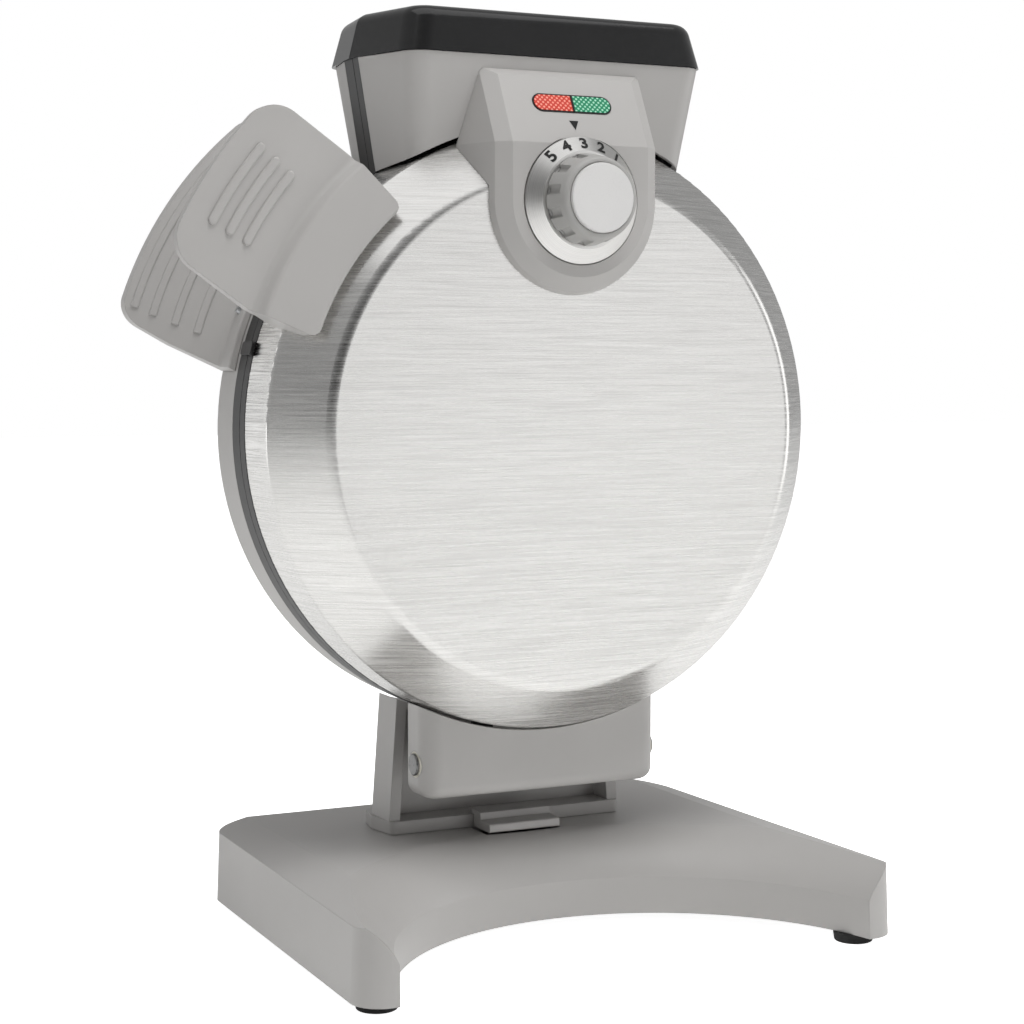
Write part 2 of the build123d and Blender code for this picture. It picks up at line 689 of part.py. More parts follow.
with BuildPart() as lamp_board:
    with BuildSketch(lamp_plane.offset(-8)):
        with Locations((0, lamp_centre - 4)):
            Rectangle(44, 18)
    extrude(amount=1.6)
    with BuildSketch(lamp_plane.offset(-6.5)):
        with Locations((-9.5, lamp_centre), (9.5, lamp_centre)):
            Circle(2.5)
    extrude(amount=3.5)
save(lamp_board.part, "lamp_board")

# --- thermostat on its bracket behind the dial ---
with BuildPart() as thermostat:
    with Locations((0, -11.5, dial_z - 4)):
        Box(24, 11, 32)
    add(cylinder_y(5, -16, -19.5, 0, dial_z))
save(thermostat.part, "thermostat")

with BuildPart() as thermostat_bracket:
    with BuildSketch(Plane.YZ.offset(-16)):
        with BuildLine():
            Polyline((-4.5, dial_z - 24), (-4.5, dial_z + 14), (-5.7, dial_z + 14), (-5.7, dial_z - 22.8),
                     (-13, dial_z - 22.8), (-13, dial_z - 24), close=True)
        make_face()
    extrude(amount=32)
save(thermostat_bracket.part, "thermostat_bracket")

# --- dial: spindle, numbered skirt, fluted knob and the disc on its front ---
with BuildPart() as dial_spindle:
    add(cylinder_y(3, -19.9, -46, 0, dial_z))
save(dial_spindle.part, "dial_spindle")

with BuildPart() as dial_skirt:
    add(turned(
        [(skirt_y, skirt_r), (skirt_y - 1.2, skirt_r), (knob_y + 0.2, knob_r + 1.2), (knob_y + 0.2, 3),
         (knob_y + 1.6, 3), (knob_y + 1.6, knob_r), (skirt_y, skirt_r - 2.4)],
        dial_axis, dial_z,
    ))
save(dial_skirt.part, "dial_skirt")

knob_tip_r, knob_tip_y, flutes = 17.4, -48.4, 12
with BuildPart() as dial_knob:
    with BuildSketch(front_plane(knob_y)):
        with Locations((0, dial_z)):
            Circle(knob_r)
            with PolarLocations(knob_r + 1.0, flutes):
                Circle(3.0, mode=Mode.SUBTRACT)
    extrude(amount=knob_y - knob_tip_y, taper=degrees(atan2(knob_r - knob_tip_r, knob_y - knob_tip_y)))
    add(cylinder_y(3, 0, -46, 0, dial_z), mode=Mode.SUBTRACT)
save(dial_knob.part, "dial_knob")

with BuildPart() as knob_disc:
    add(turned(
        [(knob_tip_y, 0), (knob_tip_y, cap_disc_r), (cap_disc_y + 0.6, cap_disc_r), (cap_disc_y, cap_disc_r - 0.7),
         (cap_disc_y, 0)],
        dial_axis, dial_z,
    ))
save(knob_disc.part, "knob_disc")

# --- handle tabs: turned about the grids' centre and trimmed, so their edges follow the rim's curve ---
tab_sweep = 50.0  # degrees turned before the trim


def tab_front(y):
    """Drawing plane facing the front, with its x pointing outward along the tab."""
    return Plane(origin=(0, y, disc_z), x_dir=outward, z_dir=(0, -1, 0))


def tab_turned(corners, corner_radii, sweep=tab_sweep):
    """Solid turned about the grids' axis, evenly to both sides of the tab, from (distance, y) corners."""
    start = radians(tab_angle + sweep / 2)
    side = (cos(start), 0, sin(start))
    with BuildPart(mode=Mode.PRIVATE) as body:
        with BuildSketch(Plane(origin=(0, 0, disc_z), x_dir=side, z_dir=(-side[2], 0, side[0]))):
            with BuildLine():
                FilletPolyline(*corners, radius=corner_radii, close=True)
            make_face()
        revolve(axis=disc_axis, revolution_arc=sweep)
    return body.part


def tab_outline(tip, half, corner_r, root_half, root_d, inner_r=0, inner_corner_r=0):
    """Upright prism with a tab's outline: tapered sides, a tip that follows a circle, and round corners.

    With inner_r the root is cut along that circle too, and its two corners are rounded.
    """
    with BuildPart(mode=Mode.PRIVATE) as body:
        with BuildSketch(tab_front(150)):
            with BuildLine():
                Polyline((40, -root_half), (root_d, -root_half), (150, -half), (tip + 20, -half),
                         (tip + 20, half), (150, half), (root_d, root_half), (40, root_half), close=True)
            make_face()
            Circle(tip, mode=Mode.INTERSECT)
            fillet(vertices().sort_by(Axis.X)[-2:], corner_r)
            if inner_r:
                Circle(inner_r, mode=Mode.SUBTRACT)
                fillet(vertices().sort_by_distance((0, 0, 0))[:2], inner_corner_r)
        extrude(amount=250)
    return body.part


def tab_rib(distance, width, reach, y, height):
    """Finger rib on a flat flap: a slot along an arc, with a rounded front edge."""
    with BuildPart(mode=Mode.PRIVATE) as body:
        with BuildSketch(tab_front(y)):
            with BuildLine(mode=Mode.PRIVATE) as spine:
                CenterArc((0, 0), distance, -reach / 2, reach)
            SlotArc(spine.edges()[0], width)
        extrude(amount=height)
        fillet(body.faces().sort_by(Axis.Y)[0].edges(), 0.8)
    return body.part


shoe_inner_r, shoe_outer_r = 125.2, 150.0
flap_tip, flap_y, flap_t = 197.0, -9.0, 3.4
with BuildPart() as front_handle_tab:
    add(tab_turned(
        [(shoe_inner_r - 1, -17.2), (shoe_outer_r, -14.6), (shoe_outer_r + 3, flap_y), (flap_tip + 9, flap_y),
         (flap_tip + 9, flap_y + flap_t), (shoe_outer_r, flap_y + 7), (shoe_outer_r - 9, 4), (shoe_inner_r - 1, 4)],
        [2.4, 2.5, 3.5, 0.5, 0.5, 4, 2, 0.5],
    ))
    add(cover_form, mode=Mode.SUBTRACT)
    add(tab_outline(flap_tip, tab_half, 15, 33.5, 118, shoe_inner_r, 4.5), mode=Mode.INTERSECT)
    for rib_d, rib_reach in ((168, 11.5), (176.5, 11.5), (185, 11.5)):
        add(tab_rib(rib_d, 4.0, rib_reach, flap_y + 1, 2.2))
    for x, z in front_screw_places:
        add(cylinder_y(1.6, 10, -10, x, disc_z + z), mode=Mode.SUBTRACT)
save(front_handle_tab.part, "front_handle_tab")

with BuildPart() as front_tab_screws:
    for x, z in front_screw_places:
        add(cylinder_y(1.6, 0, -10, x, disc_z + z))
        add(cylinder_y(3.2, 0.4, -1.5, x, disc_z + z))
save(front_tab_screws.part, "front_tab_screws")

# --- rear tab: its root hugs the housing's side, and it flares back from the front one ---
rear_root_y, rear_tip_y, rear_tip, rear_half = 44.0, 90.0, 182.0, 57.0
flare_slope = (rear_tip_y - 4 - rear_root_y - 11) / (rear_tip - 141)
with BuildPart() as rear_handle_tab:
    add(tab_turned(
        [(122, rear_root_y), (140.5, rear_root_y), (141, rear_root_y + 11), (rear_tip + 8, rear_tip_y + 2),
         (rear_tip + 6, rear_tip_y + 6), (138, 63), (122, 62)],
        [0.5, 1, 4, 0.5, 0.5, 4, 0.5], 60,
    ))
    add(cylinder_y(rim_r + 0.1, 66, 0), mode=Mode.SUBTRACT)
    add(tab_outline(rear_tip, rear_half, 12, rear_half - 3, 120), mode=Mode.INTERSECT)
    add(spout_shells["rear_spout_shell"], mode=Mode.SUBTRACT)
    for rib_d, rib_reach in ((152, 36), (161, 35), (170, 34), (177.5, 33)):
        rib_y = rear_root_y + 11 + flare_slope * (rib_d - 141)
        add(tab_turned(
            [(rib_d - 1.6, rib_y + 0.8), (rib_d + 1.6, rib_y + 2.4), (rib_d + 1.6, rib_y + 0.2),
             (rib_d - 1.6, rib_y - 2.2)],
            [0.2, 0.2, 0.5, 0.7], rib_reach,
        ))
    for side in (-1, 1):
        with BuildSketch(Plane(origin=(0, rear_screw_y, disc_z), x_dir=(0, 1, 0), z_dir=outward)):
            with Locations((0, side * rear_screw_lateral)):
                Circle(1.6)
        extrude(amount=139, mode=Mode.SUBTRACT)
save(rear_handle_tab.part, "rear_handle_tab")

with BuildPart() as rear_tab_screws:
    for screw_r, start, end in ((1.6, 128, 139), (3.2, 126.5, 128.3)):
        for side in (-1, 1):
            with BuildSketch(
                Plane(origin=(0, rear_screw_y, disc_z), x_dir=(0, 1, 0), z_dir=outward).offset(start)
            ):
                with Locations((0, side * rear_screw_lateral)):
                    Circle(screw_r)
            extrude(amount=end - start)
save(rear_tab_screws.part, "rear_tab_screws")

# --- latch: a hook on the front half slides over a nub on the rear half as they close ---
latch_angle = 164.5
latch_out = (cos(radians(latch_angle)), 0, sin(radians(latch_angle)))
latch_plane = Plane(origin=(0, 0, disc_z), x_dir=(0, 1, 0), z_dir=latch_out)
with BuildPart() as latch_hook:
    with BuildSketch(latch_plane.offset(138.2)):
        with Locations((29.5, 0)):
            RectangleRounded(13, 6, 1.5)
    extrude(amount=1.1)
    with BuildSketch(latch_plane.offset(137.2)):
        with Locations((26, 0)):
            Rectangle(4, 6)
    extrude(amount=1.1)
save(latch_hook.part, "latch_hook")

with BuildPart() as latch_catch:
    with BuildSketch(latch_plane.offset(136.9)):
        with Locations((35, 0)):
            RectangleRounded(4, 5, 1)
    extrude(amount=0.9)
    add(cylinder_y(rim_r + 0.05, 66, 0), mode=Mode.SUBTRACT)
save(latch_catch.part, "latch_catch")

# --- posts, screws and wiring parts inside the two halves ---
with BuildPart() as cover_posts:
    for x, z in post_places:
        add(cylinder_y(4, band_y, -4.5, x, disc_z + z))
        add(cylinder_y(1.6, band_y, 8, x, disc_z + z), mode=Mode.SUBTRACT)
save(cover_posts.part, "cover_posts")

with BuildPart() as front_rim_screws:
    for x, z in post_places:
        add(cylinder_y(1.6, front_part_y - 0.5, 8.5, x, disc_z + z))
        add(cylinder_y(3.2, front_part_y - 0.3, front_part_y - 2, x, disc_z + z))
save(front_rim_screws.part, "front_rim_screws")
save(rear_twin(front_rim_screws.part), "rear_rim_screws")

with BuildPart() as terminal_block:
    with Locations((-32, 69, disc_z - 66)):
        Box(28, 12, 18)
    with Locations((-39, 62.5, disc_z - 66), (-32, 62.5, disc_z - 66), (-25, 62.5, disc_z - 66)):
        Box(4, 2, 12)
save(terminal_block.part, "terminal_block")

with BuildPart() as thermal_fuse:
    with Locations((34, 62, disc_z + 12)):
        Box(14, 3, 26)
    add(cylinder_z(2.6, disc_z + 2, disc_z + 22, [(34, 65.4)]))
save(thermal_fuse.part, "thermal_fuse")

gland_z = 64.0
with BuildPart() as cord_gland:
    add(cylinder_y(4.8, 90.4, 78, 0, gland_z))
    add(cylinder_y(7, 90.4, 87.8, 0, gland_z))
    add(cylinder_y(3.2, 95, 70, 0, gland_z), mode=Mode.SUBTRACT)
save(cord_gland.part, "cord_gland")
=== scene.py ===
import bmesh
import bpy
import json
import math
import numpy as np
from mathutils import Matrix, Vector


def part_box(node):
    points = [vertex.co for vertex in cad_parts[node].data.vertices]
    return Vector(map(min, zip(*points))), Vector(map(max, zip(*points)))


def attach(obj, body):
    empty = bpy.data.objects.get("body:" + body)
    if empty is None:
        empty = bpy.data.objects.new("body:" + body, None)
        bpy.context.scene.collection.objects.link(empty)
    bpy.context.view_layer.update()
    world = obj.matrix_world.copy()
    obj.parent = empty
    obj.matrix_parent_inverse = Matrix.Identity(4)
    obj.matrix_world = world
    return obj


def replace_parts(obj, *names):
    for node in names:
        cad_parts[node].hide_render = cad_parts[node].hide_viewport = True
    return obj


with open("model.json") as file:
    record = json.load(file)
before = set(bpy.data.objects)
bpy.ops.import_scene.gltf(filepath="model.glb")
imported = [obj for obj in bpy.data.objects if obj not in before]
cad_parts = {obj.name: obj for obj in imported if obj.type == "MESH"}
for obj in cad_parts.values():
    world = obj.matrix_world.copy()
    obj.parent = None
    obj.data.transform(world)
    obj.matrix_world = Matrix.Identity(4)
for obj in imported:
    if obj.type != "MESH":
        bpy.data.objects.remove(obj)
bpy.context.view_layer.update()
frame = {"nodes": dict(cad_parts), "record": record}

nodes = frame["nodes"]
print("frame loaded:", len(nodes), "nodes")

mm = 0.001


def linearColour(hexCode):  # each sRGB channel below 0.04045 is divided by 12.92, the rest follow the 2.4 power
    channels = [int(hexCode[i:i + 2], 16) / 255 for i in (1, 3, 5)]
    return [c / 12.92 if c <= 0.04045 else ((c + 0.055) / 1.055) ** 2.4 for c in channels] + [1.0]


def addNode(tree, kind, settings, inputs):  # inputs hold either plain values or other nodes' sockets
    node = tree.nodes.new(kind)
    for key, value in settings.items():
        setattr(node, key, value)
    for key, value in inputs.items():
        if isinstance(value, bpy.types.NodeSocket):
            tree.links.new(value, node.inputs[key])
        else:
            node.inputs[key].default_value = value
    return node


def startMaterial(name, colour, **surface):  # a principled surface whose plain values sit on its own sockets
    material = bpy.data.materials.new(name)
    material.use_nodes = True
    tree = material.node_tree
    shader = tree.nodes["Principled BSDF"]
    shader.inputs["Base Color"].default_value = linearColour(colour)
    for key, value in surface.items():
        shader.inputs[key.replace("_", " ")].default_value = value
    material.diffuse_color = linearColour(colour)
    place = addNode(tree, "ShaderNodeTexCoord", {}, {}).outputs["Object"]
    return material, tree, shader, place


def noiseOver(tree, place, scale, stretch=(1, 1, 1), detail=2.0, rough=0.5):  # noise in lengths of 1/scale metres
    stretched = addNode(tree, "ShaderNodeMapping", {}, {"Vector": place, "Scale": stretch}).outputs["Vector"]
    return addNode(tree, "ShaderNodeTexNoise", {}, {
        "Vector": stretched, "Scale": scale, "Detail": detail, "Roughness": rough}).outputs["Fac"]


def spread(tree, value, low, high, fromLow=0.3, fromHigh=0.7):  # carries a 0 to 1 noise into another range
    return addNode(tree, "ShaderNodeMapRange", {}, {
        "Value": value, "From Min": fromLow, "From Max": fromHigh,
        "To Min": low, "To Max": high}).outputs["Result"]


def colourBetween(tree, value, first, second):
    mix = addNode(tree, "ShaderNodeMix", {"data_type": "RGBA"}, {})
    tree.links.new(value, mix.inputs[0])
    mix.inputs[6].default_value = linearColour(first)
    mix.inputs[7].default_value = linearColour(second)
    return mix.outputs[2]


def bumpFrom(tree, height, depth, strength=1.0, under=None):
    inputs = {"Height": height, "Distance": depth, "Strength": strength}
    if under is not None:
        inputs["Normal"] = under
    return addNode(tree, "ShaderNodeBump", {}, inputs).outputs["Normal"]


# stainless sheet, belt brushed sideways before it was spun: short fine lines that stretch highlights upright
# (the real lines are finer than this, and are drawn coarser so that they show)
brushing = {"lineLength": 34 * mm, "lineHeight": 0.5 * mm, "bright": "#EFEEEC", "dark": "#D0CFCD"}


def brushedStainless():
    material, tree, shader, place = startMaterial("brushedStainless", "#D6D5D3", Metallic=1.0, Roughness=0.34)
    across = brushing["lineHeight"] / brushing["lineLength"]
    lines = noiseOver(tree, place, 1 / brushing["lineHeight"], (across, across, 1), 3.0, 0.6)
    broad = noiseOver(tree, place, 1 / (5 * brushing["lineHeight"]), (across, across, 1), 2.0, 0.5)
    tree.links.new(colourBetween(tree, spread(tree, lines, 0, 1), brushing["dark"], brushing["bright"]),
                   shader.inputs["Base Color"])
    tree.links.new(spread(tree, lines, 0.2, 0.34), shader.inputs["Roughness"])
    fine = bumpFrom(tree, lines, 0.02 * mm, 0.4)
    tree.links.new(bumpFrom(tree, broad, 0.02 * mm, 0.35, fine), shader.inputs["Normal"])
    return material


# moulded ABS with a spark-eroded satin skin: soft broad highlights and a very fine even grain
def satinAbs(name, dark, light, rough, grain=0.35 * mm, depth=0.012 * mm, edge=0.6 * mm):
    material, tree, shader, place = startMaterial(name, light, Roughness=rough, IOR=1.53)
    cloud = noiseOver(tree, place, 12, detail=3.0)
    tree.links.new(colourBetween(tree, spread(tree, cloud, 0, 1), dark, light), shader.inputs["Base Color"])
    skin = noiseOver(tree, place, 1 / grain, detail=2.0)
    tree.links.new(spread(tree, skin, rough - 0.04, rough + 0.05), shader.inputs["Roughness"])
    softEdge = addNode(tree, "ShaderNodeBevel", {"samples": 4}, {"Radius": edge}).outputs["Normal"]
    tree.links.new(bumpFrom(tree, skin, depth, 0.6, softEdge), shader.inputs["Normal"])
    return material


# polished black ABS: a mirror-like skin with faint slow waviness from the mould
def polishedBlackAbs():
    material, tree, shader, place = startMaterial("polishedBlackAbs", "#101011", Roughness=0.16, IOR=1.54)
    shader.inputs["Coat Weight"].default_value = 0.35
    shader.inputs["Coat Roughness"].default_value = 0.06
    wave = noiseOver(tree, place, 25, detail=1.0)
    haze = noiseOver(tree, place, 400, detail=3.0)
    tree.links.new(spread(tree, haze, 0.13, 0.22), shader.inputs["Roughness"])
    tree.links.new(colourBetween(tree, spread(tree, wave, 0, 1), "#0E0E0F", "#141415"),
                   shader.inputs["Base Color"])
    tree.links.new(bumpFrom(tree, wave, 0.08 * mm, 0.25), shader.inputs["Normal"])
    return material


# a turned and polished ring: fine concentric tool marks about the dial's axis
def turnedMetal(name, centre, dark, light, rough):
    material, tree, shader, place = startMaterial(name, light, Metallic=1.0, Roughness=rough)
    local = addNode(tree, "ShaderNodeVectorMath", {"operation": "SUBTRACT"}, {0: place, 1: centre}).outputs[0]
    flat = addNode(tree, "ShaderNodeVectorMath", {"operation": "MULTIPLY"}, {0: local, 1: (1, 0, 1)}).outputs[0]
    reach = addNode(tree, "ShaderNodeVectorMath", {"operation": "LENGTH"}, {0: flat}).outputs["Value"]
    rings = addNode(tree, "ShaderNodeTexNoise", {"noise_dimensions": "1D"}, {
        "W": reach, "Scale": 1 / (0.22 * mm), "Detail": 2.0}).outputs["Fac"]
    tree.links.new(colourBetween(tree, spread(tree, rings, 0, 1), dark, light), shader.inputs["Base Color"])
    tree.links.new(spread(tree, rings, rough - 0.05, rough + 0.08), shader.inputs["Roughness"])
    tree.links.new(bumpFrom(tree, rings, 0.01 * mm, 0.5), shader.inputs["Normal"])
    return material


# plain metals inside and underneath: zinc plate, ground steel, heat-stained tube and non-stick castings
def plainMetal(name, dark, light, rough, speckle=1.5 * mm, metallic=1.0):
    material, tree, shader, place = startMaterial(name, light, Metallic=metallic, Roughness=rough)
    stain = noiseOver(tree, place, 1 / speckle, detail=4.0)
    tree.links.new(colourBetween(tree, spread(tree, stain, 0, 1), dark, light), shader.inputs["Base Color"])
    tree.links.new(spread(tree, stain, rough - 0.05, rough + 0.1), shader.inputs["Roughness"])
    tree.links.new(bumpFrom(tree, stain, 0.03 * mm, 0.3), shader.inputs["Normal"])
    return material


# moulded foot rubber: dull, with a light bloom that greys the black
def footRubber():
    material, tree, shader, place = startMaterial("footRubber", "#181818", Roughness=0.75, IOR=1.5)
    bloom = noiseOver(tree, place, 180, detail=4.0)
    tree.links.new(colourBetween(tree, spread(tree, bloom, 0, 1), "#121212", "#232323"),
                   shader.inputs["Base Color"])
    tree.links.new(bumpFrom(tree, bloom, 0.05 * mm, 0.5), shader.inputs["Normal"])
    return material


# clear acrylic in a signal colour, moulded with rows of small dimples behind; their sparkle through it is painted
# as pale dots
lensLook = {"pitch": 1.7 * mm, "lean": 0.494}


def dimpledAcrylic(name, deep, paintedSparkle):
    material, tree, shader, place = startMaterial(name, deep, Roughness=0.2, IOR=1.49)
    shader.inputs["Coat Weight"].default_value = 0.6
    shader.inputs["Coat Roughness"].default_value = 0.08
    # a weak painted glow in the lens's own colour, which brightens the lens without a lamp behind it
    shader.inputs["Emission Color"].default_value = linearColour(deep)
    shader.inputs["Emission Strength"].default_value = 0.12
    flat = addNode(tree, "ShaderNodeVectorMath", {"operation": "MULTIPLY"}, {
        0: place, 1: (1, 0, math.hypot(1, lensLook["lean"]))}).outputs[0]
    turned = addNode(tree, "ShaderNodeMapping", {}, {
        "Vector": flat, "Rotation": (0, math.radians(45), 0)}).outputs["Vector"]
    cells = addNode(tree, "ShaderNodeTexVoronoi", {"feature": "F1"}, {
        "Vector": turned, "Scale": 1 / lensLook["pitch"], "Randomness": 0.0}).outputs["Distance"]
    # each dimple is painted as a pale dot, a painted sparkle; the same dots also give the dimples' bump
    dimpleSparkle = spread(tree, cells, 1, 0, 0.2, 0.38)
    tree.links.new(colourBetween(tree, dimpleSparkle, deep, paintedSparkle), shader.inputs["Base Color"])
    tree.links.new(bumpFrom(tree, dimpleSparkle, 0.15 * mm, 0.4), shader.inputs["Normal"])
    return material


dialCentre = (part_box("knob_disc")[0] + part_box("knob_disc")[1]) / 2
materialOf = {
    "brushed_stainless": brushedStainless(),
    "grey_plastic": satinAbs("satinGreyAbs", "#AFADAB", "#B5B3B1", 0.38),
    "black_plastic": satinAbs("satinBlackAbs", "#161617", "#1C1C1D", 0.4),
    "black_gloss": polishedBlackAbs(),
    "cast_aluminium": plainMetal("nonStickCasting", "#232323", "#2F2F30", 0.5, 0.8 * mm, 0.2),
    "heater_steel": plainMetal("heatStainedTube", "#4A433C", "#6E675F", 0.45),
    "reflector_steel": plainMetal("brightReflectorSheet", "#B8B8B8", "#D2D2D2", 0.25),
    "hinge_steel": plainMetal("groundSteel", "#6E6E6E", "#8A8A8A", 0.3),
    "bush_nylon": satinAbs("nylonBush", "#D5D1C4", "#E0DDD2", 0.5),
    "zinc_screw": plainMetal("zincPlate", "#A9ABAD", "#C4C6C8", 0.32, 0.6 * mm),
    "foot_rubber": footRubber(),
    "red_lens": dimpledAcrylic("redAcrylic", "#C23526", "#F2A08E"),
    "green_lens": dimpledAcrylic("greenAcrylic", "#157E57", "#A6DFC5"),
    "circuit_board": satinAbs("epoxyBoard", "#164A22", "#1D5A2B", 0.35),
    "thermostat_body": satinAbs("phenolicResin", "#231F1C", "#2D2825", 0.5),
    "zinc_bracket": plainMetal("zincStrip", "#9DA0A2", "#BCBEC0", 0.35),
    "dial_metal": turnedMetal("turnedRing", dialCentre, "#CFCECC", "#EDECEA", 0.34),
    "knob_grey": satinAbs("satinSilverKnob", "#A3A2A0", "#ACABA9", 0.32),
    "knob_face": satinAbs("paleSilverCap", "#D6D5D4", "#DDDCDB", 0.3),
    "terminal_resin": satinAbs("creamResin", "#D8D2C2", "#E2DDCF", 0.5),
}
for entry in frame["record"]["subparts"]:
    skin = materialOf[entry["material_slot"]]
    mesh = nodes[entry["node"]].data
    if mesh.materials:
        for i in range(len(mesh.materials)):
            mesh.materials[i] = skin
    else:
        mesh.materials.append(skin)
print("materials:", len(materialOf))


def gridFaces(rows, columns, closedRows, closedColumns):  # quads between neighbouring grid points
    i = np.arange(rows if closedRows else rows - 1)
    j = np.arange(columns if closedColumns else columns - 1)
    a, b = np.meshgrid(i, j, indexing="ij")
    nextA, nextB = (a + 1) % rows, (b + 1) % columns
    quads = [a * columns + b, nextA * columns + b, nextA * columns + nextB, a * columns + nextB]
    return np.stack(quads, -1).reshape(-1, 4)


# The skirt is a shallow cone: a point at angle a clockwise from the top and radius r lies at
# (r sin a, coneY(r), r cos a) from the dial's centre, and the figures are laid on it.
figures = {
    "font": 7.8 * mm, "reach": 24.4 * mm, "step": 20.4, "third": -0.6, "ink": 0.12 * mm, "bold": 0.26 * mm,
    "outerR": 27.6, "outerY": -29.8, "innerR": 21.3, "innerY": -34.5, "last": 5,
}
inkBlack = satinAbs("printingInk", "#0C0C0C", "#121212", 0.45)


def coneY(reach):  # straight line between the skirt's outer and inner edges
    share = (figures["outerR"] - reach / mm) / (figures["outerR"] - figures["innerR"])
    return (figures["outerY"] + share * (figures["innerY"] - figures["outerY"])) * mm


def flatFigure(text, size):  # the outline of one figure, centred on its own middle, as a flat mesh
    curve = bpy.data.curves.new("figureCurve", "FONT")
    curve.body, curve.size, curve.align_x, curve.align_y = text, size, "CENTER", "CENTER"
    curve.resolution_u, curve.offset = 6, figures["bold"]
    holder = bpy.data.objects.new("figureHolder", curve)
    bpy.context.scene.collection.objects.link(holder)
    bpy.context.view_layer.update()
    mesh = bpy.data.meshes.new_from_object(holder.evaluated_get(bpy.context.evaluated_depsgraph_get()))
    bpy.data.objects.remove(holder)
    return mesh


def placeMesh(name, mesh, matrix, material, body):
    mesh.transform(matrix)
    mesh.materials.clear()
    mesh.materials.append(material)
    piece = bpy.data.objects.new(name, mesh)
    bpy.context.scene.collection.objects.link(piece)
    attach(piece, body)
    return piece


coneLean = math.atan2(figures["outerY"] - figures["innerY"], figures["outerR"] - figures["innerR"])
for value in range(1, figures["last"] + 1):
    angle = math.radians(figures["third"] + (3 - value) * figures["step"])
    out = Vector((math.sin(angle), 0, math.cos(angle)))
    upSlope = out * math.cos(coneLean) + Vector((0, math.sin(coneLean), 0))
    side = Vector((math.cos(angle), 0, -math.sin(angle)))
    normal = side.cross(upSlope)
    spot = Vector((dialCentre.x, coneY(figures["reach"]), dialCentre.z)) + out * figures["reach"]
    spot = spot + normal * figures["ink"]
    turn = Matrix((side, upSlope, normal)).transposed().to_4x4()
    placeMesh(f"figure{value}", flatFigure(str(value), figures["font"]), Matrix.Translation(spot) @ turn,
              inkBlack, "dial")

pointer = {"x": -1.2 * mm, "top": 367.2 * mm, "low": 363.0 * mm, "half": 2.3 * mm, "proud": 0.1 * mm,
           "kneeZ": 356.6 * mm, "kneeY": -29.4 * mm, "lean": 0.494}
corners = np.array([[-pointer["half"], pointer["top"]], [pointer["half"], pointer["top"]], [0, pointer["low"]]])
depth = pointer["kneeY"] + pointer["lean"] * (corners[:, 1] - pointer["kneeZ"]) - pointer["proud"]
triangle = np.column_stack([corners[:, 0] + pointer["x"], depth, corners[:, 1]])
mark = bpy.data.meshes.new("pointerMark")
mark.from_pydata(triangle.tolist(), [], [(0, 2, 1)])
placeMesh("pointerMark", mark, Matrix.Identity(4), inkBlack, "door")

# The knob is turned and fluted: the radius at angle a and depth y is the profile's own radius less a flute, which
# is a rounded bump in a, repeated round the knob, times a fade in y that ends before the front bezel.
knob = {
    "flutes": 12, "turnFlute": 10.5, "deep": 1.9 * mm, "fluteShare": 0.42, "flat": 0.7,
    "fadeFrom": -40.6, "fadeOver": 3.4, "skirtY": -34.75,
    "steps": 360, "gap": 0.35, "discSteps": 180, "discGap": 2.0, "sharp": 38,
    "profile": [(-34.7, 0.0), (-34.7, 19.6), (-35.1, 20.1), (-38, 19.6), (-41, 19.1), (-44, 18.5), (-46.2, 18.0),
                (-47.3, 17.5), (-48.0, 16.8), (-48.3, 16.0), (-48.3, 15.5), (-47.9, 15.3), (-47.9, 0.0)],
    "disc": [(-47.9, 0.0), (-47.9, 15.0), (-49.3, 15.0), (-49.7, 14.8), (-49.8, 14.4), (-49.8, 0.0)],
}


def densePath(points, gap):  # the same corners with points no further apart than gap, in millimetres
    points = np.array(points, float)
    lengths = np.hypot(*np.diff(points, axis=0).T)
    travel = np.concatenate([[0], np.cumsum(lengths)])
    even = np.linspace(0, travel[-1], int(travel[-1] / gap) + 2)
    travelAll = np.unique(np.concatenate([even, travel]))
    return np.column_stack([np.interp(travelAll, travel, points[:, side]) for side in (0, 1)])


# A profile of (depth, radius) turned about the dial's axis: at angle a a point is (r sin a, depth, r cos a).
def turnedSurface(name, path, steps, cut=None):
    angle = np.arange(steps) / steps * 2 * math.pi
    radius = np.repeat(path[:, 1:2], steps, 1) * mm
    if cut is not None:
        radius = np.maximum(radius - cut(angle[None, :], path[:, :1]), 0)
    depth = np.repeat(path[:, :1], steps, 1) * mm
    points = np.stack([dialCentre.x + radius * np.sin(angle), depth, dialCentre.z + radius * np.cos(angle)], -1)
    made = bpy.data.meshes.new(name)
    made.from_pydata(points.reshape(-1, 3).tolist(), [], gridFaces(len(path), steps, False, True).tolist())
    work = bmesh.new()
    work.from_mesh(made)
    bmesh.ops.remove_doubles(work, verts=work.verts, dist=1e-6)
    bmesh.ops.recalc_face_normals(work, faces=work.faces)
    work.to_mesh(made)
    work.free()
    made.polygons.foreach_set("use_smooth", np.ones(len(made.polygons), bool))
    made.set_sharp_from_angle(angle=math.radians(knob["sharp"]))
    return made


def fluteCut(angle, depth):
    phase = ((angle - math.radians(knob["turnFlute"])) * knob["flutes"] / (2 * math.pi) + 0.5) % 1 - 0.5
    width = knob["fluteShare"] / 2
    across = np.sqrt(np.clip(1 - (phase / width) ** 2, 0, 1))
    fade = np.clip((knob["fadeFrom"] - depth) / knob["fadeOver"], 0, 1)
    along = np.sqrt(np.clip(1 - fade ** 2, 0, 1)) * (depth < knob["skirtY"])
    return knob["deep"] * across ** knob["flat"] * along


knobMesh = turnedSurface("flutedKnob", densePath(knob["profile"], knob["gap"]), knob["steps"], fluteCut)
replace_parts(placeMesh("flutedKnob", knobMesh, Matrix.Identity(4), materialOf["knob_grey"], "dial"),
            "dial_knob")
discMesh = turnedSurface("paleKnobDisc", densePath(knob["disc"], knob["discGap"]), knob["discSteps"])
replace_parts(placeMesh("paleKnobDisc", discMesh, Matrix.Identity(4), materialOf["knob_face"], "dial"),
            "knob_disc")
print("knob turned")

